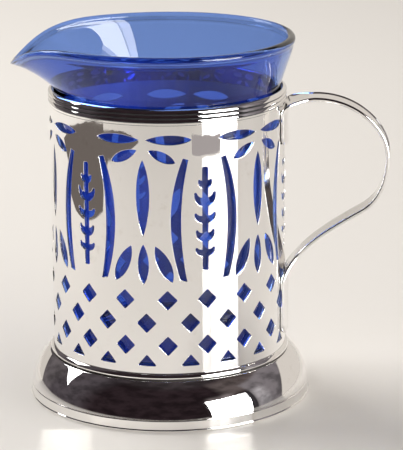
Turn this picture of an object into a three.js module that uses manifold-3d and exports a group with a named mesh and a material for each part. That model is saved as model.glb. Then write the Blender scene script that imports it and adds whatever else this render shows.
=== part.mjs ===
// Creamer holder: a loose blue glass jug standing in a pierced silver-plate sleeve on a domed foot.
// Millimetres, +Z up. The foot stands on z = 0, the handle points to +X and the spout to -X.
import * as THREE from 'three';
import { mergeVertices } from 'three/addons/utils/BufferGeometryUtils.js';
import Module from 'manifold-3d';

const wasm = await Module();
wasm.setup();

// Driving dimensions of the holder
const turnSteps = 44;            // facets in one turn of the round pieces
const sleeveSteps = 36;          // facets of the sleeve, each as wide as half the lattice's pitch
const sleeveRadius = 32.75;      // outside of the pierced sleeve
const sheet = 0.8;               // sheet metal of the sleeve, the strap and the seat
const seam = 0.1;                // solder gap between pieces that touch
const footRadius = 39.3;         // outside of the vertical foot band
const footBand = 3.5;            // height of that band
const skirtTop = 12.8;           // level of the flange that the sleeve stands on
const domeRadius = 14.6;         // the skirt's section is one convex arc, in degrees from level
const domeFoot = 9;
const domeHead = 51.8;
const skirtWall = 0.9;
const flangeInner = 29.5;        // open middle of the flange, seen from below
const beadHeight = 1.7;          // wire over the joint of sleeve and foot
const beadProud = 0.9;           // how far that wire stands out from the sleeve
const collarFoot = 83.6;         // underside of the reeded collar
const collarInner = 31.85;
const collarReed = 1.25;         // radius of each of the collar's three reeds

// Driving dimensions of the jug
const jugRadius = 31.4;          // outside of the glass body, a loose fit in the sleeve
const jugWall = 2.2;
const jugStands = 0.3;           // clearance between the glass and its seat
const jugNeck = 88.5;            // just over the collar, where the wall flares and the spout starts
const rimHeight = 100.95;        // middle of the rounded rim
const rimCircle = 34.2;          // radius of that rim's middle line
const rimBead = 1.2;             // radius of the rim's round section
const spoutReach = 8;            // how far the lip is pulled out of round
const spoutSpread = 0.65;        // half angle of that pull, in radians
const spoutDrop = 7.6;           // how far the lip is pulled down
const spoutDip = 0.474;          // half angle of the dip
const spoutShoulder = 1.4;       // rise of the rim on each side of the spout

// Driving dimensions of the handle
const strapHalf = 4.2;           // half the width of the strap in the loop
const tailHalf = 8;              // half the width of the tails soldered to the sleeve
const strapWire = 0.35;          // height of the raised wire along each edge
const handleReach = 61.05;       // axis of the sleeve to the outermost part of the loop
const handleTop = 84.9;
const upperTail = 72.5;          // lower end of the upper tail
const upperBend = 81.5;          // where that tail leaves the sleeve
const lowerBend = 33.3;          // where the lower tail meets it again
const lowerTail = 18.6;          // lower end of the lower tail

// Piercing: six ferns, six leaf bows and a lattice of lozenges, three to each fern
const motifs = 6;
const lozenges = 18;
const pierceTurn = -5.2;         // degrees from the handle to the nearest lozenge of the lattice
const fernTurn = -1.3;           // the ferns and bows stand this much further round
const lozengeWidth = 5.35;
const lozengeHeight = 5.45;
const halfHeight = 3.2;          // height of the half lozenges
const latticeTop = 35.4;         // middle of the highest row of lozenges
const latticePitch = 6.45;
const halfRow = 16.8;            // base line of the row of half lozenges

// The round pieces share one axis. It lies left of the origin, because the origin is
// the middle of the whole outline from the spout's tip to the outside of the handle.
const strapOutside = sheet / 2 + strapWire;
const spoutTip = rimCircle + spoutReach + rimBead;
const axisX = (spoutTip - (handleReach + strapOutside)) / 2;

const silver = { color: 0xd9d4cb, metalness: 1, roughness: 0.16 };
const glass = { color: 0x2b3f9e, metalness: 0, roughness: 0.05 };

const creamer = new THREE.Group();
const onAxis = new THREE.Group();
onAxis.position.x = axisX;
creamer.add(onAxis);

function addPiece(name, geometry, look) {
  const mesh = new THREE.Mesh(geometry, new THREE.MeshStandardMaterial(look));
  mesh.name = name;
  onAxis.add(mesh);
}

// A closed body whose corners are shared, with no seam where the turn ends
function weld(geometry) {
  geometry.deleteAttribute('normal');
  geometry.deleteAttribute('uv');
  return mergeVertices(geometry, 1e-4);
}

// Revolves [radius, height] points about +Z, listed anticlockwise round the section
function turned(points, steps = turnSteps) {
  const profile = points.map(([r, z]) => new THREE.Vector2(r, z));
  if (points[0][0] > 0) profile.push(profile[0].clone());
  const geometry = new THREE.LatheGeometry(profile, steps);
  geometry.rotateX(Math.PI / 2);
  return weld(geometry);
}

// Points along a curve through two ends and two handles
function bend(from, pull, push, to, steps) {
  const [a, b, c, d] = [from, pull, push, to].map(([x, y]) => new THREE.Vector2(x, y));
  return new THREE.CubicBezierCurve(a, b, c, d).getPoints(steps).map((p) => [p.x, p.y]);
}

// Points on an arc round a centre, in degrees
function arc([x, y], radius, start, end, steps) {
  return Array.from({ length: steps + 1 }, (_, i) => {
    const angle = THREE.MathUtils.degToRad(start + ((end - start) * i) / steps);
    return [x + radius * Math.cos(angle), y + radius * Math.sin(angle)];
  });
}

// The second face of a wall: every point moved to the left of the way along the line
function offset(points, distance) {
  return points.map(([x, y], i) => {
    const before = points[Math.max(i - 1, 0)];
    const after = points[Math.min(i + 1, points.length - 1)];
    const dx = after[0] - before[0];
    const dy = after[1] - before[1];
    const length = Math.hypot(dx, dy);
    return [x - (dy * distance) / length, y + (dx * distance) / length];
  });
}

// Foot band: a plain vertical ring with a fine lip where it meets the table
function footRim() {
  const inner = footRadius - 1.2;
  const lip = 0.7;
  return turned([
    [inner, 0],
    [footRadius + 0.2, 0],
    [footRadius + 0.2, lip - 0.1],
    [footRadius, lip + 0.1],
    [footRadius, footBand - 0.3],
    [footRadius - 0.3, footBand],
    [inner, footBand],
  ]);
}

// Foot skirt: one spun shell, domed from the flange under the sleeve down to the band
function footSkirt() {
  const spring = THREE.MathUtils.degToRad(domeFoot);
  const middle = [
    footRadius - domeRadius * Math.cos(spring),
    footBand + seam - domeRadius * Math.sin(spring),
  ];
  const dome = arc(middle, domeRadius, domeHead, domeFoot, 5);
  const outside = [[flangeInner, skirtTop], [33, skirtTop], ...dome];
  const inside = offset(outside, -skirtWall);
  inside[0] = [flangeInner, skirtTop - skirtWall];
  inside[inside.length - 1] = [footRadius - skirtWall, footBand + seam];
  return turned([...inside, ...outside.reverse()]);
}

// Quarter-round wire over the joint between the sleeve and the foot, undercut at its foot
function baseBead() {
  const inner = sleeveRadius - sheet;
  const outer = sleeveRadius + beadProud;
  const bottom = skirtTop + seam;
  const round = 1.2;
  return turned([
    [inner, bottom],
    [outer - 0.35, bottom],
    [outer, bottom + 0.45],
    ...arc([outer - round, bottom + beadHeight - round], round, 15, 90, 3),
    [inner, bottom + beadHeight],
  ]);
}

// Seat inside the sleeve, a disc on the flange that the glass stands on
const seatTop = skirtTop + seam + sheet;
function seatDisc() {
  const radius = sleeveRadius - sheet - 0.2;
  return turned([
    [0, seatTop - sheet],
    [radius, seatTop - sheet],
    [radius, seatTop - 0.2],
    [radius - 0.2, seatTop],
    [0, seatTop],
  ]);
}

// Reeded collar on the top edge of the sleeve: a plain band under three rounded reeds
function topCollar() {
  const [low, middle, high] = [0.82, 1.97, 3.15].map((up) => [collarInner, collarFoot + up]);
  return turned([
    [collarInner, collarFoot],
    [sleeveRadius, collarFoot],
    [sleeveRadius, collarFoot + 0.55],
    ...arc(low, collarReed, -8, 48, 2),
    ...arc(middle, collarReed, -8, 48, 2),
    ...arc(high, collarReed, -8, 90, 4),
  ]);
}

// Shapes of the piercing, drawn flat: x runs round the sleeve and y is the height.
// A leaf is pointed at both ends and fullest past its middle.
function leaf([x, y], [endX, endY], width) {
  const along = new THREE.Vector2(endX - x, endY - y);
  const across = new THREE.Vector2(-along.y, along.x).normalize().multiplyScalar(width * 0.67);
  const at = (t, side) => [x + along.x * t + across.x * side, y + along.y * t + across.y * side];
  const shape = new THREE.Shape();
  shape.moveTo(x, y);
  shape.bezierCurveTo(...at(0.3, -1), ...at(0.78, -1), endX, endY);
  shape.bezierCurveTo(...at(0.78, 1), ...at(0.3, 1), x, y);
  return shape;
}

function lozenge(x, y) {
  return new THREE.Shape([
    new THREE.Vector2(x + lozengeWidth / 2, y),
    new THREE.Vector2(x, y + lozengeHeight / 2),
    new THREE.Vector2(x - lozengeWidth / 2, y),
    new THREE.Vector2(x, y - lozengeHeight / 2),
  ]);
}

function halfLozenge(x, y) {
  return new THREE.Shape([
    new THREE.Vector2(x + lozengeWidth / 2, y),
    new THREE.Vector2(x, y + halfHeight),
    new THREE.Vector2(x - lozengeWidth / 2, y),
  ]);
}

// A pair of barbs that curl up from the stem, cut as one crescent
function barbs(y, reach, rise, thick) {
  const blunt = 0.65;
  const shape = new THREE.Shape();
  shape.moveTo(-reach, y + rise);
  shape.quadraticCurveTo(-reach, y + rise / 5, 0, y);
  shape.quadraticCurveTo(reach, y + rise / 5, reach, y + rise);
  shape.lineTo(reach - blunt, y + rise);
  shape.quadraticCurveTo(reach * 0.6, y + thick, 0, y + thick);
  shape.quadraticCurveTo(-reach * 0.6, y + thick, blunt - reach, y + rise);
  return shape;
}

function stem(low, high, width) {
  const radius = width / 2;
  const shape = new THREE.Shape();
  shape.absarc(0, high - radius, radius, 0, Math.PI, false);
  shape.absarc(0, low + radius, radius, Math.PI, 2 * Math.PI, false);
  return shape;
}

// One of the two tall bows that bracket a fern, blunt at both ends
function bracket(side) {
  const shape = new THREE.Shape();
  shape.moveTo(4.6 * side, 74.2);
  shape.quadraticCurveTo(8.45 * side, 58.3, 5.1 * side, 40.6);
  shape.lineTo(6.9 * side, 41);
  shape.quadraticCurveTo(12.35 * side, 58.95, 6.05 * side, 74.6);
  return shape;
}

// Stands a flat shape square to the sleeve, as a straight plug through its wall
function plug(shape, turn, curveSegments) {
  const reach = 2.5;
  const geometry = new THREE.ExtrudeGeometry(shape,
    { depth: 2 * reach + sheet, bevelEnabled: false, curveSegments, steps: 1 });
  geometry.computeBoundingBox();
  const middle = (geometry.boundingBox.min.x + geometry.boundingBox.max.x) / 2;
  const angle = turn + middle / sleeveRadius;
  geometry.translate(-middle, 0, sleeveRadius - sheet - reach);
  geometry.applyMatrix4(new THREE.Matrix4().makeBasis(
    new THREE.Vector3(-Math.sin(angle), Math.cos(angle), 0),
    new THREE.Vector3(0, 0, 1),
    new THREE.Vector3(Math.cos(angle), Math.sin(angle), 0)));
  return solid(weld(geometry));
}

function solid(geometry) {
  return new wasm.Manifold(new wasm.Mesh({
    numProp: 3,
    vertProperties: geometry.getAttribute('position').array,
    triVerts: geometry.getIndex().array,
  }));
}

function surface(body) {
  const mesh = body.getMesh();
  const geometry = new THREE.BufferGeometry();
  geometry.setAttribute('position', new THREE.BufferAttribute(mesh.vertProperties, 3));
  geometry.setIndex(new THREE.BufferAttribute(mesh.triVerts, 1));
  return geometry;
}

// Sleeve: a straight tube of sheet, sawn through all round. The pattern is laid out from the
// middle of a facet, so that every lozenge is sawn in one flat, and is turned into place last.
function piercedSleeve() {
  const bottom = skirtTop + beadHeight + 2 * seam;
  const inner = sleeveRadius - sheet;
  const tube = turned([
    [inner, bottom],
    [sleeveRadius, bottom],
    [sleeveRadius, collarFoot - seam],
    [inner, collarFoot - seam],
  ], sleeveSteps);
  const start = Math.PI / sleeveSteps;
  const sector = (2 * Math.PI) / motifs;
  const pitch = (2 * Math.PI) / lozenges;
  const fern = [
    stem(43.5, 72, 1.65),
    barbs(66.3, 1.95, 2.25, 1.95),
    barbs(61.2, 3.05, 3.8, 2.4),
    barbs(56.6, 3, 2.7, 1.95),
    barbs(51.55, 2.65, 3.05, 2.25),
    barbs(47.4, 2.75, 2.3, 1.8),
  ];
  const bow = [leaf([0, 53.2], [0, 74.2], 3.6), leaf([0, 51], [0, 39.9], 3)];
  for (const side of [-1, 1]) {
    bow.push(leaf([side, 79.65], [13.3 * side, 79.65], 2.55));
    bow.push(leaf([1.6 * side, 76.8], [8.8 * side, 73.45], 2.6));
    bow.push(leaf([3.3 * side, 50.5], [7.9 * side, 40.5], 3.5));
  }
  const plugs = [];
  for (let i = 0; i < motifs; i += 1) {
    const turn = start + THREE.MathUtils.degToRad(fernTurn) + i * sector;
    for (const shape of fern) plugs.push(plug(shape, turn, 2));
    for (const side of [-1, 1]) plugs.push(plug(bracket(side), turn, 5));
    for (const shape of bow) plugs.push(plug(shape, turn + sector / 2, 4));
  }
  for (let i = 0; i < lozenges; i += 1) {
    const turn = start + i * pitch;
    plugs.push(plug(lozenge(0, latticeTop), turn, 1));
    plugs.push(plug(lozenge(0, latticeTop - latticePitch), turn + pitch / 2, 1));
    plugs.push(plug(lozenge(0, latticeTop - 2 * latticePitch), turn, 1));
    plugs.push(plug(halfLozenge(0, halfRow), turn + pitch / 2, 1));
  }
  const pierced = surface(solid(tube).subtract(wasm.Manifold.union(plugs)));
  return pierced.rotateZ(THREE.MathUtils.degToRad(pierceTurn) - start);
}

// Middle line of the strap, up from the upper tail, round the loop and down the lower tail
function strapLine() {
  const tailX = sleeveRadius + seam + sheet / 2;
  const point = (x, z) => new THREE.Vector3(x, 0, z);
  const line = new THREE.CurvePath();
  line.add(new THREE.LineCurve3(point(tailX, upperTail), point(tailX, upperBend)));
  line.add(new THREE.CubicBezierCurve3(
    point(tailX, upperBend), point(tailX, 83.3), point(37.7, handleTop), point(41.6, handleTop)));
  line.add(new THREE.CubicBezierCurve3(
    point(41.6, handleTop), point(52.4, handleTop), point(handleReach, 76.8),
    point(handleReach, 68.8)));
  line.add(new THREE.CubicBezierCurve3(
    point(handleReach, 68.8), point(handleReach, 63.1), point(59.1, 56.8), point(54.5, 54)));
  line.add(new THREE.CubicBezierCurve3(
    point(54.5, 54), point(47.1, 49.5), point(tailX, 41.8), point(tailX, lowerBend)));
  line.add(new THREE.LineCurve3(point(tailX, lowerBend), point(tailX, lowerTail)));
  return line;
}

// Strap: flat in the loop, and dished and spread where its tails lie on the sleeve.
// The section is drawn in the plane across the line, with a raised wire on each edge of
// the outer face. The upper tail has none, because that face lies on the sleeve there.
function handleStrap() {
  const line = strapLine();
  const length = line.getLength();
  const spread = 9;                // length over which the strap widens into a tail
  const corner = 2.5;              // rounding of the tails' ends
  const ends = [0, 0.35, 1.2];
  const evenSteps = 31;
  const stations = [
    ...ends,
    ...Array.from({ length: evenSteps + 1 }, (_, i) => {
      return corner + ((length - 2 * corner) * i) / evenSteps;
    }),
    ...ends.map((end) => length - end).reverse(),
  ];
  const positions = [];
  let around = 0;
  for (const along of stations) {
    const here = line.getPointAt(along / length);
    const way = line.getTangentAt(along / length);
    const toEnd = Math.min(along, length - along);
    const upper = 1 - THREE.MathUtils.smoothstep(
      along, upperBend - upperTail, upperBend - upperTail + spread);
    const lower = 1 - THREE.MathUtils.smoothstep(
      length - along, lowerBend - lowerTail, lowerBend - lowerTail + spread);
    const tail = Math.max(upper, lower);
    const side = upper > lower ? -1 : 1;
    const wire = strapWire * (1 - upper);
    let half = THREE.MathUtils.lerp(strapHalf, tailHalf, tail);
    if (toEnd < corner) half += Math.sqrt(corner ** 2 - (corner - toEnd) ** 2) - corner;
    const edge = 1.1;
    const back = -sheet / 2;
    const face = sheet / 2;
    const section = [
      [-half, back], [-half, face + wire * 0.6], [edge / 2 - half, face + wire],
      [edge - half, face], [-half / 2, face], [0, face], [half / 2, face],
      [half - edge, face], [half - edge / 2, face + wire], [half, face + wire * 0.6],
      [half, back], [half / 2, back], [0, back], [-half / 2, back],
    ];
    around = section.length;
    const outward = new THREE.Vector3(-way.z, 0, way.x);
    const hollow = tail / (sleeveRadius + seam + sheet / 2);
    for (const [across, out] of section) {
      const angle = across * hollow;
      const sideways = hollow > 1e-6 ? Math.sin(angle) / hollow : across;
      const inward = hollow > 1e-6 ? (1 - Math.cos(angle)) / hollow : 0;
      const away = out * Math.cos(angle) - side * inward;
      positions.push(
        here.x + outward.x * away,
        -sideways - side * out * Math.sin(angle),
        here.z + outward.z * away);
    }
  }
  const index = [];
  const last = (stations.length - 1) * around;
  for (let row = 0; row < last; row += around) {
    for (let j = 0; j < around; j += 1) {
      const a = row + j;
      const b = row + ((j + 1) % around);
      index.push(a, b, a + around, b, b + around, a + around);
    }
  }
  for (const [rim, turn] of [[0, 1], [last, -1]]) {
    for (const [a, b, c] of capOf(around)) {
      index.push(rim + a, rim + (turn > 0 ? c : b), rim + (turn > 0 ? b : c));
    }
  }
  const geometry = new THREE.BufferGeometry();
  geometry.setAttribute('position', new THREE.Float32BufferAttribute(positions, 3));
  geometry.setIndex(index);
  return geometry;
}

// Triangles over one end of the strap: the face's points joined to the back's
function capOf(around) {
  const face = [1, 2, 3, 4, 5, 6, 7, 8, 9];
  const back = [0, 13, 13, 12, 12, 12, 11, 11, 10];
  const cap = [];
  for (let i = 0; i + 1 < face.length; i += 1) {
    cap.push([face[i], face[i + 1], back[i + 1]]);
    if (back[i] !== back[i + 1]) cap.push([face[i], back[i + 1], back[i]]);
  }
  return cap;
}

// Jug: blown body with a flared mouth and a rounded rim, its lip pulled into a spout
function glassJug() {
  const floor = seatTop + jugStands;
  const inner = jugRadius - jugWall;
  const section = [
    [0, floor + 0.9], [24, floor + 0.7], [26.4, floor], [28.7, floor],
    ...arc([jugRadius - 2.4, floor + 2.4], 2.4, -60, 0, 2),
    [jugRadius, jugNeck - 4],
    ...bend([jugRadius + 0.1, jugNeck], [32.1, 91], [33.6, 94.6], [34.9, 98.9], 4),
    ...arc([rimCircle, rimHeight], rimBead, -45, 180, 5),
    ...bend([32.75, 99.5], [31.2, 94.8], [29.8, 92.4], [inner + 0.1, jugNeck], 4),
    [inner, jugNeck - 4],
    ...arc([inner - 3, floor + 6.4], 3, 0, -90, 2),
    [0, floor + 3.2],
  ];
  const geometry = turned(section);
  const place = geometry.getAttribute('position');
  const bunch = 0.42;              // draws the facets together at the spout
  for (let i = 0; i < place.count; i += 1) {
    const radius = Math.hypot(place.getX(i), place.getY(i));
    if (radius < 1e-6) continue;
    const even = Math.atan2(place.getY(i), -place.getX(i));
    const turn = even - bunch * Math.sin(even);
    const height = place.getZ(i);
    const rise = THREE.MathUtils.clamp((height - jugNeck) / (rimHeight - jugNeck), 0, 1);
    const aside = Math.abs(turn);
    const pull = Math.exp(-((aside / spoutSpread) ** 2)) * rise ** 0.85;
    const dip = Math.exp(-((aside / spoutDip) ** 2.65)) * rise ** 1.5;
    const shoulder = Math.exp(-(((aside - 0.327) / 0.242) ** 2)) * rise ** 2;
    const out = radius + spoutReach * pull;
    const lift = spoutShoulder * shoulder - spoutDrop * dip;
    place.setXYZ(i, -out * Math.cos(turn), out * Math.sin(turn), height + lift);
  }
  return geometry;
}

addPiece('foot_rim', footRim(), silver);
addPiece('foot_skirt', footSkirt(), silver);
addPiece('base_bead', baseBead(), silver);
addPiece('seat_disc', seatDisc(), silver);
addPiece('pierced_sleeve', piercedSleeve(), silver);
addPiece('top_collar', topCollar(), silver);
addPiece('handle_strap', handleStrap(), silver);
addPiece('glass_jug', glassJug(), glass);

export default creamer;
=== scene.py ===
import math

import bmesh
import bpy
from mathutils import Matrix, Vector
from mathutils.geometry import interpolate_bezier


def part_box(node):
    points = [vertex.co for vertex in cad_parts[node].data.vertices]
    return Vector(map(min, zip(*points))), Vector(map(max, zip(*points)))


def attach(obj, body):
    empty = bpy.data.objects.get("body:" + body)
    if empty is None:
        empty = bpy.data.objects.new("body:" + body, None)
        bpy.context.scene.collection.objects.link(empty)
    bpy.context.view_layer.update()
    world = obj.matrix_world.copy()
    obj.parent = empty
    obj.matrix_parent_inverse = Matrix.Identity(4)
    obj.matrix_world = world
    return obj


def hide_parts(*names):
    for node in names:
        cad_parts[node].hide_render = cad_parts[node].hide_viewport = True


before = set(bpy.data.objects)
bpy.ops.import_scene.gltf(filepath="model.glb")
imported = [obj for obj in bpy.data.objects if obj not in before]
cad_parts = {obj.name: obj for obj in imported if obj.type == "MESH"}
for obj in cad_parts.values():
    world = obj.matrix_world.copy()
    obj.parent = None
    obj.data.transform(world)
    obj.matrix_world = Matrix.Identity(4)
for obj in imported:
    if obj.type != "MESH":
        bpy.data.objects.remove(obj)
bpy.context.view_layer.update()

mm = 0.001
seam = 0.1                              # solder gap between pieces that touch, in millimetres
seatLow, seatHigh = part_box("seat_disc")
axisX = (seatLow.x + seatHigh.x) / 2    # axis of the round pieces, in metres
studioTurn = math.radians(6)            # the camera looks 6 degrees past the handle's plane
scene = bpy.context.scene


# Screen colour, 0 to 255, as Blender's linear colour
def screen(red, green, blue):
    def linear(value):
        value /= 255
        return value / 12.92 if value <= 0.04045 else ((value + 0.055) / 1.055) ** 2.4
    return (linear(red), linear(green), linear(blue), 1)


# New shader node: inputs are values or sockets to link, settings are its own properties
def addNode(tree, kind, inputs=None, **settings):
    node = tree.nodes.new(kind)
    for key, value in settings.items():
        setattr(node, key, value)
    for key, value in (inputs or {}).items():
        if isinstance(value, bpy.types.NodeSocket):
            tree.links.new(value, node.inputs[key])
        else:
            node.inputs[key].default_value = value
    return node


def mathNode(tree, operation, first, second=0.0):
    return addNode(tree, "ShaderNodeMath", {0: first, 1: second}, operation=operation).outputs[0]


def blendColour(tree, factor, first, second, way="MIX"):
    node = addNode(tree, "ShaderNodeMix", {0: factor, 6: first, 7: second},
                   data_type="RGBA", blend_type=way)
    return node.outputs[2]


# Soft change from bottom to top, while the value goes from low to high
def ramp(tree, value, low, high, bottom=0.0, top=1.0):
    node = addNode(tree, "ShaderNodeMapRange",
                   {"Value": value, "From Min": low, "From Max": high,
                    "To Min": bottom, "To Max": top},
                   interpolation_type="SMOOTHSTEP")
    return node.outputs["Result"]


def noise(tree, place, scale, detail, roughness=0.5):
    node = addNode(tree, "ShaderNodeTexNoise", {"Vector": place, "Scale": scale,
                                                "Detail": detail, "Roughness": roughness})
    return node.outputs["Fac"]


# Bump of the given height in metres, over the bump in `under` if there is one
def bump(tree, height, distance, under=None):
    inputs = {"Strength": 1.0, "Distance": distance, "Height": height}
    if under is not None:
        inputs["Normal"] = under
    return addNode(tree, "ShaderNodeBump", inputs).outputs["Normal"]


def objectPlace(tree):
    return addNode(tree, "ShaderNodeTexCoord").outputs["Object"]


def heightOf(tree, place):
    return addNode(tree, "ShaderNodeSeparateXYZ", {0: place}).outputs[2]


def newMaterial(name):
    material = bpy.data.materials.new(name)
    material.use_nodes = True
    tree = material.node_tree
    return material, tree, tree.nodes["Principled BSDF"]


# Rounds each corner (r, z, radius) of a section, with a row close outside each rounding so that
# the flats between them shade flat
def roundedSection(corners, closed=True, steps=5, support=0.12):
    mostReach = 0.48                    # share of an edge that one rounding may take
    points = []
    count = len(corners)
    for i, (r, z, radius) in enumerate(corners):
        here = Vector((r, z))
        if radius == 0 or (not closed and i in (0, count - 1)):
            points.append(here)
            continue
        before = Vector(corners[i - 1][:2]) - here
        after = Vector(corners[(i + 1) % count][:2]) - here
        reach = radius / math.tan(before.angle(after) / 2)
        reach = min(reach, before.length * mostReach, after.length * mostReach)
        start = here + before.normalized() * reach
        end = here + after.normalized() * reach
        if support and before.length > 2 * reach + 3 * support:
            points.append(start + before.normalized() * support)
        points += quadPoints(start, here, end, steps)
        if support and after.length > 2 * reach + 3 * support:
            points.append(end + after.normalized() * support)
    return points


def arcPoints(middle, radius, start, end, steps):
    points = []
    for k in range(steps + 1):
        angle = math.radians(start + (end - start) * k / steps)
        points.append(Vector((middle[0] + radius * math.cos(angle),
                              middle[1] + radius * math.sin(angle))))
    return points


# Curve with one pull, and below it the curve with two
def quadPoints(start, pull, end, steps):
    a, b, c = Vector(start), Vector(pull), Vector(end)
    return [a * (1 - t) ** 2 + b * 2 * t * (1 - t) + c * t ** 2
            for t in (k / steps for k in range(steps + 1))]


def bendPoints(start, pull, push, end, steps):
    return [Vector(p[:2]) for p in interpolate_bezier(
        Vector((*start, 0)), Vector((*pull, 0)), Vector((*push, 0)), Vector((*end, 0)),
        steps + 1)]


# Turns a section, in millimetres from the axis and the table, into a round shell
def spinSection(section, steps, closed=True):
    bm = bmesh.new()
    verts = [bm.verts.new((axisX + r * mm, 0, z * mm)) for r, z in section]
    for a, b in zip(verts, verts[1:]):
        bm.edges.new((a, b))
    if closed:
        bm.edges.new((verts[-1], verts[0]))
    bmesh.ops.spin(bm, geom=bm.verts[:] + bm.edges[:], cent=(axisX, 0, 0), axis=(0, 0, 1),
                   angle=2 * math.pi, steps=steps, use_merge=True, use_duplicate=False)
    bmesh.ops.remove_doubles(bm, verts=bm.verts[:], dist=1e-7)
    bmesh.ops.recalc_face_normals(bm, faces=bm.faces[:])
    return bm


# Makes the finished piece, lets it ride on its body and stand for its CAD node
def makePiece(name, bm, material, node, body="holder", sharp=40):
    mesh = bpy.data.meshes.new(name)
    bm.to_mesh(mesh)
    bm.free()
    mesh.shade_smooth()
    mesh.set_sharp_from_angle(angle=math.radians(sharp))
    piece = bpy.data.objects.new(name, mesh)
    scene.collection.objects.link(piece)
    mesh.materials.append(material)
    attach(piece, body)
    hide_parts(node)
    print(f"{name}: {sum(len(p.vertices) - 2 for p in mesh.polygons)} triangles")
    return piece


silverLook = {
    "bright": (0.945, 0.932, 0.918, 1),
    "tarnish": (0.66, 0.6, 0.52, 1),
    "tarnishAmount": 0.4,
    "smooth": 0.012,              # roughness where it is clean
    "smudged": 0.045,             # roughness under finger marks
    "smudgeScale": 70.0,
    "speckScale": 420.0,
    "waveScale": 45.0,
    "waveHeight": 0.00003,        # metres, the hand-finished surface is never quite even
    "hairScale": 900.0,
    "hairHeight": 0.0000012,      # metres, polishing hairlines
    "held": 0.2,                  # roughness added low on the strap, where fingers have dulled it
    "heldFrom": (0.074, 0.052),   # heights between which that sets in, in metres
}


# Bright silver plate with finger smudges, faint waves, and hairlines along `grain`
def silverPlate(name, grain=(1, 1, 1), wave=1.0, held=False):
    material, tree, shader = newMaterial(name)
    place = objectPlace(tree)
    cloud = noise(tree, place, silverLook["smudgeScale"], 4.0, 0.6)
    speck = noise(tree, place, silverLook["speckScale"], 3.0, 0.65)
    stain = mathNode(tree, "MULTIPLY", ramp(tree, speck, 0.5, 0.78), ramp(tree, cloud, 0.45, 0.72))
    stain = mathNode(tree, "MULTIPLY", stain, silverLook["tarnishAmount"])
    colour = blendColour(tree, stain, silverLook["bright"], silverLook["tarnish"])
    tree.links.new(colour, shader.inputs["Base Color"])
    shader.inputs["Metallic"].default_value = 1
    rough = ramp(tree, cloud, 0.4, 0.75, silverLook["smooth"], silverLook["smudged"])
    if held:
        start, end = silverLook["heldFrom"]
        worn = ramp(tree, heightOf(tree, place), end, start, silverLook["held"], 0.0)
        rough = mathNode(tree, "ADD", rough, worn)
    tree.links.new(rough, shader.inputs["Roughness"])
    swell = noise(tree, place, silverLook["waveScale"], 1.0, 0.4)
    along = addNode(tree, "ShaderNodeMapping", {"Vector": place, "Scale": grain})
    hair = noise(tree, along.outputs["Vector"], silverLook["hairScale"], 3.0)
    soft = bump(tree, swell, silverLook["waveHeight"] * wave)
    fine = bump(tree, hair, silverLook["hairHeight"], soft)
    tree.links.new(fine, shader.inputs["Normal"])
    return material


glassLook = {
    "tint": (0.19, 0.33, 0.80, 1),    # what one wall lets through
    "ior": 1.5,
    "smooth": 0.0,                    # roughness where it is clean
    "filmed": 0.06,                   # and where it is filmed over
    "filmScale": 130.0,
    "waveScale": 32.0,
    "waveHeight": 0.00006,            # metres, blown glass is slightly uneven
}


def blueGlass(name):
    material, tree, shader = newMaterial(name)
    shader.inputs["Base Color"].default_value = glassLook["tint"]
    shader.inputs["Transmission Weight"].default_value = 1
    shader.inputs["IOR"].default_value = glassLook["ior"]
    place = objectPlace(tree)
    film = noise(tree, place, glassLook["filmScale"], 4.0)
    rough = ramp(tree, film, 0.55, 0.8, glassLook["smooth"], glassLook["filmed"])
    tree.links.new(rough, shader.inputs["Roughness"])
    swell = noise(tree, place, glassLook["waveScale"], 1.0)
    tree.links.new(bump(tree, swell, glassLook["waveHeight"]), shader.inputs["Normal"])
    return material


insideLook = {
    "tone": (0.9, 0.9, 0.92, 1),
    "upper": (0.33, 0.38, 0.47, 1),     # darker and bluer high up on the inside
    "upperFrom": (0.048, 0.068),        # heights between which that darker tone sets in, in metres
    # dark blue of the seat is painted shade: it stands for the dim light, blued by the glass, that
    # reaches it
    "seat": (0.16, 0.22, 0.38, 1),
    # near black of the mouldings' undersides: oxide there, and painted shade under them
    "groove": (0.12, 0.11, 0.1, 1),
    "stained": 0.8,                     # share of the tone that the stains keep
    "cloudScale": 90.0,
    "metal": 0.35,
    "roughness": (0.5, 0.65),
}


# Dull plate where nobody polishes: the inside of the sleeve, the seat under the glass and the
# undersides of the mouldings. The seat's dark blue is painted shade; the undersides' near black is
# partly painted shade.
def dullPlate(name, tone):
    material, tree, shader = newMaterial(name)
    shader.inputs["Metallic"].default_value = insideLook["metal"]
    place = objectPlace(tree)
    cloud = noise(tree, place, insideLook["cloudScale"], 4.0, 0.6)
    dark = tuple(insideLook["stained"] * part for part in tone[:3]) + (1,)
    colour = blendColour(tree, ramp(tree, cloud, 0.45, 0.75), tone, dark)
    darkerHigh = tuple(a * b for a, b in zip(tone, insideLook["upper"]))
    high = ramp(tree, heightOf(tree, place), *insideLook["upperFrom"])
    tree.links.new(blendColour(tree, high, colour, darkerHigh), shader.inputs["Base Color"])
    rough = ramp(tree, cloud, 0.3, 0.7, *insideLook["roughness"])
    tree.links.new(rough, shader.inputs["Roughness"])
    return material


spunSilver = silverPlate("spun_silver", grain=(0.15, 0.15, 3))
sleeveSilver = silverPlate("sleeve_silver", grain=(0.6, 0.6, 0.6))
strapSilver = silverPlate("strap_silver", grain=(0.3, 2.5, 0.3), wave=0.6, held=True)
dullSilver = dullPlate("dull_silver", insideLook["tone"])
seatSilver = dullPlate("seat_silver", insideLook["seat"])
undersideOxideAndShade = dullPlate("underside_oxide_and_shade", insideLook["groove"])
cobaltGlass = blueGlass("cobalt_glass")
print("materials made")


# Gives the undersides of fine mouldings the oxide that polishing leaves there, and painted shade
def darkenUndersides(piece):
    steep = -0.5                        # a face whose normal points further down is an underside
    piece.data.materials.append(undersideOxideAndShade)
    for face in piece.data.polygons:
        if face.normal.z < steep:
            face.material_index = 1


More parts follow.
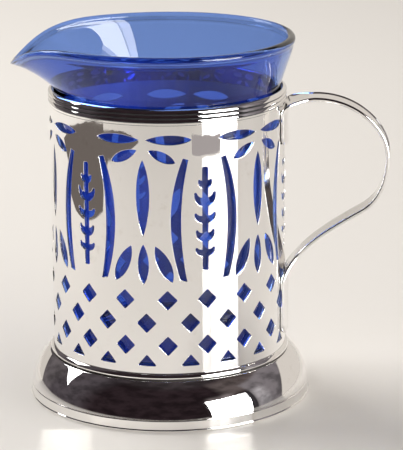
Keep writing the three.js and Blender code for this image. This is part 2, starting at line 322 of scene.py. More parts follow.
foot = {
    "radius": 39.3,
    "band": 3.5,
    "bandThick": 1.2,
    "bandRounds": (0.1, 0.15, 0.2, 0.1, 0.45, 0.1),    # of its corners, from inside at the table
    "lip": 0.2,              # how far the fine lip at the table stands out
    "lipHeight": 0.6,
    "skirtTop": 12.8,
    "domeRadius": 14.6,
    "domeFoot": 9,           # degrees from level where the arc starts and ends
    "domeHead": 51.8,
    "wall": 0.9,
    "flangeInner": 29.5,
    "flangeOuter": 32.8,     # where the flat flange meets the dome, on top
    "flangeUnder": 32.4,     # and on its underside
    "beadHeight": 1.7,
    "beadProud": 0.9,        # how far the wire over the joint stands out from the sleeve
    "beadRound": 1.2,
    "beadArc": (8, 90),      # degrees from level that its rounding covers
    "beadBevel": 0.35,       # at its lower edge
    "beadDraft": 0.05,       # lean of its side over that bevel
    "seatGap": 0.2,          # between the seat and the sleeve
    "seatRounds": (0.08, 0.2),    # of its lower and upper edge
    "steps": 192,
    "seatSteps": 96,
}

sleeve = {
    "radius": 32.75,
    "sheet": 0.8,
    "bottom": 14.7,
    "top": 83.5,
}


def footBand():
    r, band = foot["radius"], foot["band"]
    inner, lip = r - foot["bandThick"], r + foot["lip"]
    low = foot["lipHeight"]
    high = low + foot["lip"]
    corners = ((inner, 0), (lip, 0), (lip, low), (r, high), (r, band), (inner, band))
    section = [(*corner, size) for corner, size in zip(corners, foot["bandRounds"])]
    return spinSection(roundedSection(section), foot["steps"])


def domedSkirt():
    start, end = foot["domeFoot"], foot["domeHead"]
    spring = math.radians(start)
    low, top, wall = foot["band"] + seam, foot["skirtTop"], foot["wall"]
    middle = (foot["radius"] - foot["domeRadius"] * math.cos(spring),
              low - foot["domeRadius"] * math.sin(spring))
    section = [Vector((foot["flangeInner"], top - wall)), Vector((foot["flangeInner"], top)),
               Vector((foot["flangeOuter"], top))]
    section += arcPoints(middle, foot["domeRadius"], end, start, 40)
    section += [Vector((foot["radius"] - wall, low))]
    section += arcPoints(middle, foot["domeRadius"] - wall, start, end, 24)[1:]
    section += [Vector((foot["flangeUnder"], top - wall))]
    return spinSection(section, foot["steps"])


def baseBead():
    low, size, bevel = foot["skirtTop"] + seam, foot["beadRound"], foot["beadBevel"]
    high = low + foot["beadHeight"]
    outer = sleeve["radius"] + foot["beadProud"]
    inner = sleeve["radius"] - sleeve["sheet"]
    section = [Vector((inner, low)), Vector((outer - bevel, low)),
               Vector((outer - foot["beadDraft"], low + bevel))]
    section += arcPoints((outer - size, high - size), size, *foot["beadArc"], 20)
    section += [Vector((inner, high))]
    return spinSection(section, foot["steps"])


def seatDisc():
    radius = sleeve["radius"] - sleeve["sheet"] - foot["seatGap"]
    low = foot["skirtTop"] + seam
    high = low + sleeve["sheet"]
    under, over = foot["seatRounds"]
    section = [(0, low, 0), (radius, low, under), (radius, high, over), (0, high, 0)]
    return spinSection(roundedSection(section, closed=False), foot["seatSteps"], closed=False)


makePiece("foot_band", footBand(), spunSilver, "foot_rim")
makePiece("domed_skirt", domedSkirt(), spunSilver, "foot_skirt")
darkenUndersides(makePiece("joint_bead", baseBead(), spunSilver, "base_bead"))
makePiece("seat_plate", seatDisc(), seatSilver, "seat_disc")
print("foot made")


# Heights are over the table and widths run round the sleeve, both in millimetres
piercing = {
    "motifs": 6,
    "turn": -6.5,            # degrees from the handle to the nearest fern
    "edge": 0.11,            # rounding of the sawn edges
    "strip": 2.5,            # degrees of each narrow flat round the sleeve
    "lozenges": 18,          # in each row
    "lozengeWidth": 5.35,
    "lozengeHeight": 5.45,
    "halfHeight": 3.2,
    "corner": 0.3,           # rounding of the lozenges' corners
    "latticeTop": 35.4,
    "latticePitch": 6.45,
    "halfRow": 16.8,
    "lattice": 1.1,          # degrees that the lattice stands further round than the ferns
    "latticeEven": 1.6,      # and its second and fourth rows
    "byHand": ((0, 0), (0.6, 0), (-0.3, 0.9)),    # degrees that the lozenges stand off the grid
    "stem": 0.82,            # half the width of a fern's stem
    "stemFlat": 0.3,         # half the width of the flat at each end of it
    "stemRound": 0.6,
    "fernFoot": 43.5,
    "fernHead": 72,
    "barbs": (               # lower join, upper join, tip and reach of each pair
        (47.4, 49.2, 49.7, 2.75), (51.55, 53.8, 54.6, 2.65), (56.6, 58.55, 59.3, 3.0),
        (61.2, 63.6, 65.0, 3.05), (66.3, 68.3, 68.5, 1.95)),
    "barbPulls": (0.99, 0.6),     # of its lower and upper side, as shares of the reach
    "barbTip": (             # inset from the reach and rise over the tip, round the tip
        (0, -0.25), (0.12, 0), (0.4, 0.12), (0.62, 0), (0.75, -0.2)),
    "bracketOuter": ((6.05, 74.6), (12.35, 58.95), (6.9, 41)),    # end, pull and end
    "bracketInner": ((5.1, 40.6), (8.45, 58.3), (4.6, 74.2)),
    "bow": 30.35,            # degrees from a fern to the bow of leaves
    "middleLeaves": (        # the two upright leaves of the bow: stalk, point and width
        ((0, 53.2), (0, 74.15), 3.6, 16), ((0, 50.95), (0, 39.85), 3.0)),
    "sideLeaves": (          # and those on both sides of them
        ((1.0, 79.65), (13.3, 79.65), 2.55), ((1.6, 76.8), (8.8, 73.45), 2.6),
        ((3.3, 50.5), (7.9, 40.5), 3.5)),
    "leafPulls": (0.3, 0.78),     # where along a leaf its sides are pulled out
    "leafBelly": 0.667,           # and how far, as a share of its width
}


def along(degrees):
    return math.radians(degrees) * sleeve["radius"]


def leafHole(start, end, width, steps=12):
    a, b = Vector(start), Vector(end)
    way = b - a
    side = Vector((-way.y, way.x)).normalized() * width * piercing["leafBelly"]
    near, far = piercing["leafPulls"]
    there = bendPoints(a, a + way * near - side, a + way * far - side, b, steps)
    back = bendPoints(b, a + way * far + side, a + way * near + side, a, steps)
    return there + back[1:-1]


# A lozenge about (u, z), or with three corners the upper half of one
def lozengeHole(u, z, height, corners=4):
    w = piercing["lozengeWidth"] / 2
    outline = ((u + w, z), (u, z + height), (u - w, z), (u, z - height))[:corners]
    return roundedSection([(*place, piercing["corner"]) for place in outline], steps=3, support=0)


# A fern is a stem with cup-shaped pairs of barbs. Its right side runs from foot to head: out
# under each barb, round the tip, and back over it to the stem.
def fernHole():
    stem, flat = piercing["stem"], piercing["stemFlat"]
    low, high, bend = piercing["fernFoot"], piercing["fernHead"], piercing["stemRound"]
    right = quadPoints((flat, low), (stem, low), (stem, low + bend), 3)
    under, over = piercing["barbPulls"]
    for join, upper, tip, reach in piercing["barbs"]:
        out, start, crown, end, back = [(reach - inset, tip + rise)
                                        for inset, rise in piercing["barbTip"]]
        cup = join + (tip - join) / 5
        right += quadPoints((stem, join), (reach * under, cup), out, 8)
        right += quadPoints(start, crown, end, 3)
        right += quadPoints(back, (reach * over, upper), (stem, upper), 5)
    right += quadPoints((stem, high - bend), (stem, high), (flat, high), 3)
    left = [Vector((-p.x, p.y)) for p in reversed(right)]
    return right + left


# One of the two long brackets beside a fern
def bracketHole():
    return quadPoints(*piercing["bracketOuter"], 16) + quadPoints(*piercing["bracketInner"], 16)


def shifted(outline, u, flip=False):
    return [Vector((u - p.x if flip else u + p.x, p.y)) for p in outline]


# Every hole of one sector of the sleeve, laid flat: u runs round it and z is the height
def holesOfSector():
    nextFern = along(360 / piercing["motifs"])
    holes = [shifted(fernHole(), nextFern), shifted(bracketHole(), 0),
             shifted(bracketHole(), nextFern, flip=True)]
    bow = [leafHole(*leaf) for leaf in piercing["middleLeaves"]]
    for side in (-1, 1):
        for (startU, startZ), (endU, endZ), width in piercing["sideLeaves"]:
            bow.append(leafHole((startU * side, startZ), (endU * side, endZ), width))
    holes += [shifted(outline, along(piercing["bow"])) for outline in bow]
    top, pitch, row = piercing["latticeTop"], piercing["latticePitch"], piercing["halfRow"]
    high, step = piercing["lozengeHeight"] / 2, 360 / piercing["lozenges"]
    for k, (oddOff, evenOff) in enumerate(piercing["byHand"]):
        odd = along(step * (k + 1) + piercing["lattice"] + oddOff)
        even = along(step * (k + 0.5) + piercing["latticeEven"] + evenOff)
        holes.append(lozengeHole(odd, top, high))
        holes.append(lozengeHole(even, top - pitch, high))
        holes.append(lozengeHole(odd, top - 2 * pitch, high))
        holes.append(lozengeHole(even, row, piercing["halfHeight"], corners=3))
    return holes


# The same outline moved outwards, into the metal, by a distance
def grown(outline, distance):
    sharpest = 0.55                     # keeps a pointed corner from running far out
    area = sum(a.x * b.y - b.x * a.y for a, b in zip(outline, outline[1:] + outline[:1]))
    turn = 1 if area > 0 else -1
    moved = []
    for i, here in enumerate(outline):
        before = (here - outline[i - 1]).normalized()
        after = (outline[(i + 1) % len(outline)] - here).normalized()
        first = Vector((before.y, -before.x)) * turn
        second = Vector((after.y, -after.x)) * turn
        middle = (first + second).normalized()
        moved.append(here + middle * distance / max(middle.dot(first), sharpest))
    return moved


def loopEdges(bm, outline, out):
    verts = [bm.verts.new((p.x, out, p.y)) for p in outline]
    return [bm.edges.new((verts[i - 1], verts[i])) for i in range(len(verts))]


# Half the thickness of one sector of the sheet, sawn and with its edges eased, and its mirror
# image. Two sectors meet along a line (degrees, height) that keeps clear of every hole.
def sheetSector():
    bm = bmesh.new()
    half, edge = sleeve["sheet"] / 2, piercing["edge"]
    low, high = sleeve["bottom"], sleeve["top"]
    meeting = [(6.35, low), (6.35, 37.8), (6.7, 41), (6.7, 73), (3, 77), (3, high)]
    sector = 360 / piercing["motifs"]
    left = [Vector((along(a), z)) for a, z in meeting]
    right = [Vector((along(a + sector), z)) for a, z in reversed(meeting)]
    outside = loopEdges(bm, left + right, half)
    rims = [e for e in outside if abs(e.verts[0].co.z - e.verts[1].co.z) < 1e-6]
    holes = holesOfSector()
    for outline in holes:
        loopEdges(bm, grown(outline, edge), half)
    bmesh.ops.triangle_fill(bm, use_beauty=True, use_dissolve=False, edges=bm.edges[:],
                            normal=(0, 1, 0))
    for outline in holes:
        rings = [(grown(outline, edge * (1 - math.sin(a))), half - edge * (1 - math.cos(a)))
                 for a in (math.radians(degrees) for degrees in (0, 30, 60, 90))]
        previous = None
        for ring, depth in rings + [(outline, 0.0)]:
            edges = loopEdges(bm, ring, depth)
            if previous:
                bmesh.ops.bridge_loops(bm, edges=previous + edges)
            previous = edges
    for rim in rims:
        made = bmesh.ops.extrude_edge_only(bm, edges=[rim])
        for v in (g for g in made["geom"] if isinstance(g, bmesh.types.BMVert)):
            v.co.y = 0
    bmesh.ops.remove_doubles(bm, verts=bm.verts[:], dist=1e-5)
    both = bm.verts[:] + bm.edges[:] + bm.faces[:]
    bmesh.ops.mirror(bm, geom=both, matrix=Matrix.Identity(4), merge_dist=1e-5, axis="Y")
    return bm


def piercedSleeve():
    bm = sheetSector()
    strip = along(piercing["strip"])
    reachFrom, reachOver = 3.0, 64      # degrees that a sector starts at and reaches over
    first = math.ceil(along(reachFrom) / strip)
    for k in range(first, first + int(reachOver / piercing["strip"])):
        bmesh.ops.bisect_plane(bm, geom=bm.verts[:] + bm.edges[:] + bm.faces[:], dist=1e-5,
                               plane_co=(k * strip, 0, 0), plane_no=(1, 0, 0))
    middle = sleeve["radius"] - sleeve["sheet"] / 2
    for v in bm.verts:
        u, out, z = v.co
        angle = u / sleeve["radius"] + math.radians(piercing["turn"])
        radius = middle + out
        v.co = (axisX + radius * math.cos(angle) * mm, radius * math.sin(angle) * mm, z * mm)
    sector = bm.verts[:] + bm.edges[:] + bm.faces[:]
    for k in range(1, piercing["motifs"]):
        copy = bmesh.ops.duplicate(bm, geom=sector)["geom"]
        turned = [g for g in copy if isinstance(g, bmesh.types.BMVert)]
        bmesh.ops.rotate(bm, verts=turned, cent=(axisX, 0, 0),
                         matrix=Matrix.Rotation(2 * math.pi * k / piercing["motifs"], 3, "Z"))
    bmesh.ops.remove_doubles(bm, verts=bm.verts[:], dist=2e-7)
    bmesh.ops.recalc_face_normals(bm, faces=bm.faces[:])
    return bm


# Points the wall's normals straight away from the axis, so that the narrow flats mirror as a
# true cylinder does, and gives its inside the duller finish
def trueRound(piece):
    inwards, level = -0.2, 0.97         # lean of a face that counts as inside, or as the wall
    mesh = piece.data
    radial = [Vector((v.co.x - axisX, v.co.y, 0)).normalized() for v in mesh.vertices]
    corners = [Vector(n.vector) for n in mesh.corner_normals]
    onWall = [0] * len(mesh.vertices)
    for face in mesh.polygons:
        lean = face.normal.dot(radial[face.vertices[0]])
        if lean < inwards:
            face.material_index = 1
        if abs(lean) > level:
            for v in face.vertices:
                onWall[v] = 1 if lean > 0 else -1
    for face in mesh.polygons:
        for loop in face.loop_indices:
            v = mesh.loops[loop].vertex_index
            if onWall[v]:
                corners[loop] = radial[v] * onWall[v]
    mesh.normals_split_custom_set(corners)


sleevePiece = makePiece("pierced_wall", piercedSleeve(), sleeveSilver, "pierced_sleeve", sharp=38)
sleevePiece.data.materials.append(dullSilver)
trueRound(sleevePiece)
print("sleeve made")


collar = {
    "foot": 83.6,
    "inner": 31.85,
    "band": 0.55,            # height of the plain band under the reeds
    "proud": 1.25,           # how far each reed stands out from the collar's inside
    "reed": 1.4,             # radius of each reed
    "reedFrom": 7,           # degrees from level where each of them starts
    "reeds": (               # middle over the collar's foot, degrees where it ends, and steps
        (0.7, 58, 14), (1.85, 58, 14), (3.0, 73, 20)),
    "lip": 0.35,             # rounding of the inner top edge
    "lipUnder": 0.38,        # middle of that rounding, under the top reed's crown
}


def reededCollar():
    inner, low, reed, lip = collar["inner"], collar["foot"], collar["reed"], collar["lip"]
    middle = inner + collar["proud"] - reed
    section = [Vector((inner, low)), Vector((sleeve["radius"], low)),
               Vector((sleeve["radius"], low + collar["band"]))]
    for up, end, steps in collar["reeds"]:
        section += arcPoints((middle, low + up), reed, collar["reedFrom"], end, steps)
    top = low + up + reed               # crown of the last reed
    section += arcPoints((inner + lip, top - collar["lipUnder"]), lip, 80, 180, 7)
    return spinSection(section, foot["steps"])


darkenUndersides(makePiece("reeded_collar", reededCollar(), spunSilver, "top_collar", sharp=35))
print("collar made")


strap = {
    "half": 4.2,             # half the width in the loop
    "tail": 8,               # half the width where the tails lie on the sleeve
    "thick": 0.8,
    "wire": 0.25,            # height of the round wire along each edge, over the face
    "wireWidth": 0.8,
    "wireArc": (270, 23),    # degrees round the wire, from its underside to the face
    "wireSteps": 18,
    "wireFoot": 0.12,        # narrow flat beside the wire, which keeps the face shading flat
    "top": 84.9,             # highest level of the middle line, and the radius where it is
    "topAt": 41.6,
    "reach": 61.05,          # outermost radius of that line, and the level where it is
    "reachAt": 68.8,
    "inwards": (54.5, 54),   # where the loop turns in to the sleeve
    "upperTail": 72.5,
    "upperBend": 81.5,
    "lowerBend": 33.3,
    "lowerTail": 18.6,
    "spread": 9,             # length over which it widens into a tail
    "corner": 2.5,
    "stations": 230,
}

tailRadius = sleeve["radius"] + seam + strap["thick"] / 2


# Middle line of the strap as (r, z), from the upper tail round the loop to the lower tail:
# each curve joins two of the ends and has two pulls
def strapLine():
    x, top, reach = tailRadius, strap["top"], strap["reach"]
    ends = ((x, strap["upperBend"]), (strap["topAt"], top), (reach, strap["reachAt"]),
            strap["inwards"], (x, strap["lowerBend"]))
    pulls = (((x, 83.3), (37.7, top)), ((52.4, top), (reach, 76.8)),
             ((reach, 63.1), (59.1, 56.8)), ((47.1, 49.5), (x, 41.8)))
    line = [Vector((x, strap["upperTail"])), Vector((x, strap["upperBend"]))]
    for start, (pull, push), end in zip(ends, pulls, ends[1:]):
        line += bendPoints(start, pull, push, end, 80)[1:]
    line.append(Vector((x, strap["lowerTail"])))
    return line


def smooth(value):
    value = min(max(value, 0), 1)
    return value * value * (3 - 2 * value)


# Across the strap as (share of the half width, inset from the edge, height over the middle).
# Raised is 1 where the edges are round wires and 0 where they lie flat on the sleeve.
def strapSection(raised):
    back, face = -strap["thick"] / 2, strap["thick"] / 2
    wide, steps = strap["wireWidth"] / 2, strap["wireSteps"]
    start, end = strap["wireArc"]
    high = face + strap["wire"] * raised / 2
    middle = high - face
    edge = []
    for k in range(steps + 1):
        angle = math.radians(start - k * (start - end) / steps)
        out = middle + high * math.sin(angle)
        if angle <= math.pi / 2:
            out = max(out, face)
        edge.append((wide + wide * math.cos(angle), out))
    edge.append((2 * wide + strap["wireFoot"], face))
    left = [(-1, inset, out) for inset, out in edge]
    right = [(1, -inset, out) for inset, out in reversed(edge)]
    front = [(share, 0, face) for share in (-0.35, 0, 0.35)]
    under = [(share, 0, back) for share in (0.6, 0.2, -0.2, -0.6)]
    return left + front + right + under


def strapHandle():
    line = strapLine()
    lengths = [0.0]
    for a, b in zip(line, line[1:]):
        lengths.append(lengths[-1] + (b - a).length)
    total, corner, count = lengths[-1], strap["corner"], strap["stations"]
    upper = strap["upperBend"] - strap["upperTail"]
    lower = strap["lowerBend"] - strap["lowerTail"]
    ends = [corner * (1 - math.cos(math.radians(a))) for a in (0, 15, 30, 45, 60, 75)]
    run = total - 2 * corner
    stations = ends + [corner + run * k / count for k in range(count + 1)]
    stations += [total - e for e in reversed(ends)]
    bm = bmesh.new()
    ring, firstRing, segment = None, None, 0
    for far in stations:
        while segment < len(line) - 2 and lengths[segment + 1] < far:
            segment += 1
        part = (far - lengths[segment]) / (lengths[segment + 1] - lengths[segment])
        here = line[segment].lerp(line[segment + 1], part)
        before = line[max(segment - 1, 0)]
        beyond = line[min(segment + 2, len(line) - 1)]
        way = (beyond - before).normalized()
        onUpper = 1 - smooth((far - upper) / strap["spread"])
        onLower = 1 - smooth((total - far - lower) / strap["spread"])
        tail = max(onUpper, onLower)
        side = -1 if onUpper > onLower else 1
        half = strap["half"] + (strap["tail"] - strap["half"]) * tail
        toEnd = min(far, total - far)
        if toEnd < corner:
            half += math.sqrt(corner ** 2 - (corner - toEnd) ** 2) - corner
        hollow = tail / tailRadius      # curvature across the strap, which dishes the tails
        places = []
        for share, inset, out in strapSection(1 - onUpper):
            across = share * half + inset
            angle = across * hollow
            sideways = math.sin(angle) / hollow if hollow > 1e-6 else across
            inward = (1 - math.cos(angle)) / hollow if hollow > 1e-6 else 0
            away = out * math.cos(angle) - side * inward
            places.append(Vector((axisX + (here.x - way.y * away) * mm,
                                  (sideways + side * out * math.sin(angle)) * mm,
                                  (here.y + way.x * away) * mm)))
        if ring is None:
            order = [bm.verts.new(p) for p in places]
            ring = [bm.edges.new((order[i - 1], order[i])) for i in range(len(order))]
            firstRing = ring
            continue
        made = bmesh.ops.extrude_edge_only(bm, edges=ring)["geom"]
        fresh = {g for g in made if isinstance(g, bmesh.types.BMVert)}
        ring = [g for g in made if isinstance(g, bmesh.types.BMEdge)
                and g.verts[0] in fresh and g.verts[1] in fresh]
        order = [next(e.other_vert(v) for e in v.link_edges if e.other_vert(v) in fresh)
                 for v in order]
        for v, p in zip(order, places):
            v.co = p
    bmesh.ops.edgeloop_fill(bm, edges=firstRing)
    bmesh.ops.edgeloop_fill(bm, edges=ring)
    bmesh.ops.recalc_face_normals(bm, faces=bm.faces[:])
    return bm


makePiece("strap_loop", strapHandle(), strapSilver, "handle_strap")
print("handle made")


jug = {
    "radius": 31.4,
    "wall": 2.2,
    "floor": 14.0,           # level of its lowest glass
    "floorThick": 2.0,
    "corner": 1.5,           # rounding at the foot of its side
    "fillet": 1.8,           # inside, between the floor and the wall
    "punt": ((0, 0.9), (12, 0.85)),    # middle of the underside: radius, and rise over the floor
    "puntEdge": ((23, 0.8), (25, 0.7), (25.4, 0), (28.2, 0)),
    "rows": (30, 45, 60, 75),
    "neck": 88.5,            # level where the wall starts to flare
    "flareOut": ((32.0, 90.6), (33.9, 95.6), (34.9, 98.9)),     # up the outside to the rim
    "flareIn": ((32.75, 99.5), (31.8, 96.2), (29.95, 91.2)),    # and down the inside from it
    "rimHeight": 100.95,
    "rimCircle": 34.2,
    "rimBead": 1.2,
    "reach": 8.0,            # how far the lip is pulled out of round
    "spread": 0.65,          # half angle of that pull, in radians
    "drop": 7.6,             # how far the lip is pulled down
    "dip": 0.474,            # half angle of the dip
    "dipShape": 2.65,        # higher makes the dip flatter in its middle
    "shoulder": 1.4,         # rise of the rim on each side of the spout
    "shoulderAt": 0.327,
    "shoulderWide": 0.242,
    "rises": (0.85, 1.5, 2),    # how late pull, dip and shoulder set in on the way up
    "bunch": 0.42,           # draws the mesh together at the spout
    "steps": 224,
}


def jugSection():
    outer, neck, floor, corner = jug["radius"], jug["neck"], jug["floor"], jug["corner"]
    inner, inside, fillet = outer - jug["wall"], floor + jug["floorThick"], jug["fillet"]
    section = [Vector((r, floor + rise)) for r, rise in jug["punt"]]
    section += bendPoints(*[(r, floor + rise) for r, rise in jug["puntEdge"]], 6)
    section += arcPoints((outer - corner, floor + corner), corner, -90, 0, 9)
    section += [Vector((outer, z)) for z in (18, *jug["rows"], neck - 4, neck - 2)]
    section += bendPoints((outer + 0.1, neck), *jug["flareOut"], 20)
    section += arcPoints((jug["rimCircle"], jug["rimHeight"]), jug["rimBead"], -45, 195, 20)
    section += bendPoints(*jug["flareIn"], (inner + 0.1, neck), 20)
    section += [Vector((inner, z)) for z in (neck - 2, neck - 4, *reversed(jug["rows"]), 20)]
    section += arcPoints((inner - fillet, inside + fillet), fillet, 0, -90, 8)
    section += [Vector((18, inside)), Vector((0, inside))]
    return section


def pourJug():
    bm = spinSection(jugSection(), jug["steps"], closed=False)
    low, high = jug["neck"], jug["rimHeight"]
    pullRise, dipRise, shoulderRise = jug["rises"]
    for v in bm.verts:
        x, y, z = (v.co.x - axisX) / mm, v.co.y / mm, v.co.z / mm
        radius = math.hypot(x, y)
        if radius < 1e-4:
            continue
        turn = math.atan2(y, -x)
        turn -= jug["bunch"] * math.sin(turn)
        rise = min(max((z - low) / (high - low), 0), 1)
        pull = math.exp(-(turn / jug["spread"]) ** 2) * rise ** pullRise
        dip = math.exp(-(abs(turn) / jug["dip"]) ** jug["dipShape"]) * rise ** dipRise
        beside = (abs(turn) - jug["shoulderAt"]) / jug["shoulderWide"]
        shoulder = math.exp(-beside ** 2) * rise ** shoulderRise
        out = radius + jug["reach"] * pull
        lift = jug["shoulder"] * shoulder - jug["drop"] * dip
        v.co = (axisX - out * math.cos(turn) * mm, out * math.sin(turn) * mm, (z + lift) * mm)
    return bm


jugPiece = makePiece("pouring_jug", pourJug(), cobaltGlass, "glass_jug", body="jug",
                     sharp=60)
jugPiece.visible_shadow = False         # light reaches the inside through the clear glass
print("jug made")


# Directions are (azimuth, elevation) in degrees, seen from the object: azimuth 0 is the camera's
# side and 90 is its right. Places on the table are millimetres in the camera's frame.
studio = {
    "floorTone": screen(238, 233, 225),
    "floorRoughness": 0.08,
    "floorShine": 0.025,
    "floorSize": 2.0,        # half the width, in metres
    "pale": screen(236, 232, 224),     # what the camera sees behind the object
    "room": screen(40, 31, 34),        # what the silver mirrors where nothing else is named
    "clutter": (0.62, 1.32),           # darkest and lightest of what the silver mirrors there
    "clutterScale": 5.0,
    "lampTarget": (0, 0, 0.05),        # metres in the camera's frame
    "lamps": (               # name, azimuth, elevation, distance, size, watts
        ("window_softbox", 52, 18, 0.9, (0.60, 0.54), 1.8),
        ("key_softbox", -125, 46, 1.3, (0.9, 0.7), 15.6),
        ("top_softbox", 65, 72, 1.3, (1.2, 1.2), 5.0),
    ),
    "windowGlow": 14.0,      # brightness of the daylight that the silver and the glass mirror
    "windowFar": 8.0,        # its distance in metres
    "panes": (               # share of that brightness, and outline
        (0.7, ((34, 0), (40, 0), (39.5, 31.5), (31, 31.5))),
        (0.35, ((40, 0), (41, 0), (41, 31.5), (39.5, 31.5))),
        (1.0, ((41, 0), (69.5, 0), (71, 19), (50, 19), (51, 25), (57, 29), (62, 31.5),
               (41, 31.5))),
        (0.45, ((50, 19), (55, 19), (56, 25), (62, 29), (66, 31.5), (62, 31.5), (57, 29),
                (51, 25))),
        (0.12, ((55, 19), (71, 19), (72, 31), (66, 31.5), (62, 29), (56, 25))),
    ),
    "keyGlow": 4.0,
    "keyFar": 2.0,
    "keyOutline": (
        (-101, 22), (-106, 33), (-112, 41), (-121, 46), (-140, 50), (-150, 40), (-140, 31),
        (-131, 33.5), (-122, 33.5), (-113, 30)),
    # Cards on the table that the camera never sees: they paint a dark and a grey reflection into
    # the silver
    "tableCards": (          # name, tone, and outline on the table
        ("dark_mirror_card", (108, 100, 95), (
            (-382, 20), (-361, 98), (-310, 151), (-296, 101), (-257, 72), (-237, 25),
            (-228, -26), (-224, -76), (-221, -116), (-262, -143), (-275, -180), (-233, -252),
            (-165, -330), (-216, -312), (-264, -280), (-305, -236), (-338, -180),
            (-350, -186), (-380, -120), (-389, -53))),
        ("grey_card", (168, 161, 160), (
            (129, -320), (204, -277), (262, -228), (290, -246), (219, -312), (142, -357))),
    ),
    "cardLift": 0.5,         # millimetres over the table
    "glints": (              # name, place on the table, width and depth, watts
        ("window_glint", (15.5, -46.8), (12, 13), 0.00028),
        ("key_glint", (-28, -44), (13, 17), 0.00026),
    ),
    "glintLift": 120,        # millimetres over the table
    "glintSpread": 1.8,      # degrees
    "patches": (             # tone, azimuth from and to, elevation from and to, softness
        ((58, 52, 54), -180, 180, 66, 95, 8),
        ((74, 68, 72), -185, -78, -12, 62, 14),
        ((92, 86, 88), -185, -118, -12, 30, 5),
        ((86, 77, 76), 52, 185, 34, 64, 6),
        ((112, 106, 109), 76, 185, -12, 46, 3),
        ((160, 155, 158), 78, 90, -12, 30, 5),
        ((118, 110, 110), 34, 60, 26, 38, 4),
        ((50, 47, 50), 71, 76, -12, 31, 0.8),
    ),
    "sheets": (              # tone, side, azimuth of its middle, width and height of its edge
        ((216, 209, 201), 1.0, 145.0, 43.0, 41.0),
        ((207, 200, 192), -1.0, 162.0, 32.0, 26.0),
    ),
    "sheetFoot": -10.0,      # elevation that the sheets rise from
}


# Place in the camera's frame, in metres from the axis, as a place in the scene
def inStudio(x, y, z):
    return Matrix.Rotation(studioTurn, 3, "Z") @ Vector((x, y, z)) + Vector((axisX, 0, 0))


def towards(azimuth, elevation, distance):
    a, e = math.radians(azimuth), math.radians(elevation)
    return inStudio(distance * math.sin(a) * math.cos(e), -distance * math.cos(a) * math.cos(e),
                    distance * math.sin(e))


# Lamp for the matt surfaces, which the silver doesn't mirror
def areaLamp(name, place, size, power):
    lamp = bpy.data.lights.new(name, "AREA")
    lamp.shape = "RECTANGLE"
    lamp.size, lamp.size_y = size
    lamp.energy = power
    lampObject = bpy.data.objects.new(name, lamp)
    scene.collection.objects.link(lampObject)
    lampObject.location = place
    lampObject.visible_glossy = False
    return lampObject


def softbox(name, azimuth, elevation, distance, size, power):
    lampObject = areaLamp(name, towards(azimuth, elevation, distance), size, power)
    aim = inStudio(*studio["lampTarget"]) - lampObject.location
    lampObject.rotation_mode = "QUATERNION"
    lampObject.rotation_quaternion = aim.to_track_quat("-Z", "Y")


# Light that the foot throws back on the table, from a narrow lamp straight above the spot
def tableGlint(name, spot, size, power):
    place = inStudio(spot[0] * mm, spot[1] * mm, studio["glintLift"] * mm)
    lampObject = areaLamp(name, place, (size[0] * mm, size[1] * mm), power)
    lampObject.data.spread = math.radians(studio["glintSpread"])
    lampObject.rotation_euler.z = studioTurn


# Panel that is seen only where it is mirrored: corners in the scene, in metres
def mirroredCard(name, corners, tone, glow=1.0):
    bm = bmesh.new()
    bm.faces.new([bm.verts.new(corner) for corner in corners])
    mesh = bpy.data.meshes.new(name)
    bm.to_mesh(mesh)
    bm.free()
    card = bpy.data.objects.new(name, mesh)
    scene.collection.objects.link(card)
    material, tree, _ = newMaterial(name + "_surface")
    tree.nodes.clear()
    light = addNode(tree, "ShaderNodeEmission", {"Color": tone, "Strength": glow})
    output = addNode(tree, "ShaderNodeOutputMaterial")
    tree.links.new(light.outputs[0], output.inputs["Surface"])
    mesh.materials.append(material)
    card.visible_camera = False
    card.visible_diffuse = False
    card.visible_transmission = False
    card.visible_shadow = False


# The same panel far off, cornered by directions
def farCard(name, directions, distance, glow):
    mirroredCard(name, [towards(a, e, distance) for a, e in directions], (1, 1, 1, 1), glow)


# The same panel lying on the table
def tableCard(name, tone, spots):
    lift = studio["cardLift"] * mm
    mirroredCard(name, [inStudio(x * mm, y * mm, lift) for x, y in spots], screen(*tone))


def studioFloor():
    bm = bmesh.new()
    bmesh.ops.create_grid(bm, x_segments=1, y_segments=1, size=studio["floorSize"])
    mesh = bpy.data.meshes.new("table_top")
    bm.to_mesh(mesh)
    bm.free()
    table = bpy.data.objects.new("table_top", mesh)
    scene.collection.objects.link(table)
    material, _, shader = newMaterial("table_surface")
    shader.inputs["Base Color"].default_value = studio["floorTone"]
    shader.inputs["Roughness"].default_value = studio["floorRoughness"]
    shader.inputs["Specular IOR Level"].default_value = studio["floorShine"]
    mesh.materials.append(material)


for row in studio["lamps"]:
    softbox(*row)
for number, (share, outline) in enumerate(studio["panes"]):
    farCard(f"window_card_{number}", outline, studio["windowFar"], studio["windowGlow"] * share)
farCard("key_card", studio["keyOutline"], studio["keyFar"], studio["keyGlow"])
for row in studio["tableCards"]:
    tableCard(*row)
for row in studio["glints"]:
    tableGlint(*row)
studioFloor()


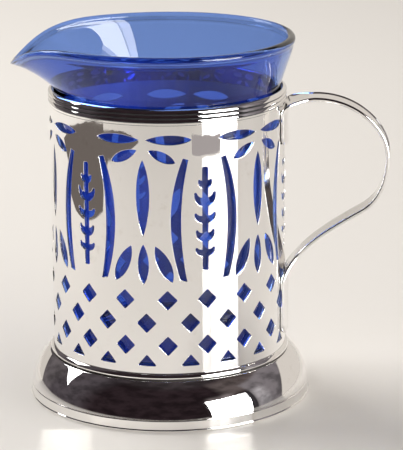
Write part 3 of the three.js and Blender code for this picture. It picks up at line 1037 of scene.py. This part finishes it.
# What the silver mirrors in each direction, while the camera sees one pale tone
def studioWorld():
    world = bpy.data.worlds.new("studio_room")
    scene.world = world
    world.use_nodes = True
    tree = world.node_tree
    output = tree.nodes["World Output"]
    ray = addNode(tree, "ShaderNodeTexCoord").outputs["Generated"]
    turned = addNode(tree, "ShaderNodeMapping",
                     {"Vector": ray, "Rotation": (0, 0, -studioTurn)}).outputs["Vector"]
    part = addNode(tree, "ShaderNodeSeparateXYZ", {0: turned}).outputs
    toward = mathNode(tree, "MULTIPLY", part[1], -1.0)
    degree = 180 / math.pi
    azimuth = mathNode(tree, "MULTIPLY", mathNode(tree, "ARCTAN2", part[0], toward), degree)
    elevation = mathNode(tree, "MULTIPLY", mathNode(tree, "ARCSINE", part[2]), degree)

    def between(value, low, high, soft):
        over = ramp(tree, value, low - soft, low + soft)
        past = ramp(tree, value, high - soft, high + soft)
        return mathNode(tree, "MULTIPLY", over, mathNode(tree, "SUBTRACT", 1.0, past))

    def patch(colour, tone, azLow, azHigh, elLow, elHigh, soft):
        inside = mathNode(tree, "MULTIPLY", between(azimuth, azLow, azHigh, soft),
                          between(elevation, elLow, elHigh, soft))
        return blendColour(tree, inside, colour, screen(*tone))

    # Pale sheet that curves up behind the object: its edge is a quarter ellipse on each side
    def sheetEdge(colour, tone, side, middle, wide, high):
        out = mathNode(tree, "SUBTRACT", middle, mathNode(tree, "MULTIPLY", azimuth, side))
        out = mathNode(tree, "DIVIDE", mathNode(tree, "MAXIMUM", out, 0.0), wide)
        rise = mathNode(tree, "SUBTRACT", elevation, studio["sheetFoot"])
        rise = mathNode(tree, "DIVIDE", rise, high)
        far = mathNode(tree, "ADD", mathNode(tree, "MULTIPLY", out, out),
                       mathNode(tree, "MULTIPLY", rise, rise))
        inside = mathNode(tree, "SUBTRACT", 1.0, ramp(tree, far, 0.96, 1.04))
        return blendColour(tree, inside, colour, screen(*tone))

    colour = studio["room"]
    for tone, *place in studio["patches"]:
        colour = patch(colour, tone, *place)
    clutter = noise(tree, turned, studio["clutterScale"], 5.0)
    light = ramp(tree, clutter, 0.32, 0.68, *studio["clutter"])
    colour = blendColour(tree, 1.0, colour, light, "MULTIPLY")
    for row in studio["sheets"]:
        colour = sheetEdge(colour, *row)
    path = addNode(tree, "ShaderNodeLightPath").outputs
    colour = blendColour(tree, path["Is Camera Ray"], colour, studio["pale"])
    background = addNode(tree, "ShaderNodeBackground", {"Color": colour, "Strength": 1.0})
    tree.links.new(background.outputs[0], output.inputs["Surface"])


studioWorld()
print("studio made")


view = {
    "back": 0.66445,         # metres from the axis
    "height": 0.22726,
    "lens": 218.95,          # millimetres, for a sensor of 36
    "sensor": 36,
    "pitch": 0.2641,         # radians, downwards
    "yaw": 0.0139,
    "roll": -0.0059,
    "farthest": 20,          # metres
}


def photoCamera():
    lens = bpy.data.cameras.new("photo_camera")
    lens.sensor_width = view["sensor"]
    lens.sensor_fit = "HORIZONTAL"
    lens.lens = view["lens"]
    lens.clip_end = view["farthest"]
    camera = bpy.data.objects.new("photo_camera", lens)
    scene.collection.objects.link(camera)
    camera.matrix_world = (
        Matrix.Translation(inStudio(0, -view["back"], view["height"]))
        @ Matrix.Rotation(studioTurn - view["yaw"], 4, "Z")
        @ Matrix.Rotation(math.pi / 2 - view["pitch"], 4, "X")
        @ Matrix.Rotation(view["roll"], 4, "Z"))
    scene.camera = camera


photoCamera()
scene.view_settings.view_transform = "Standard"
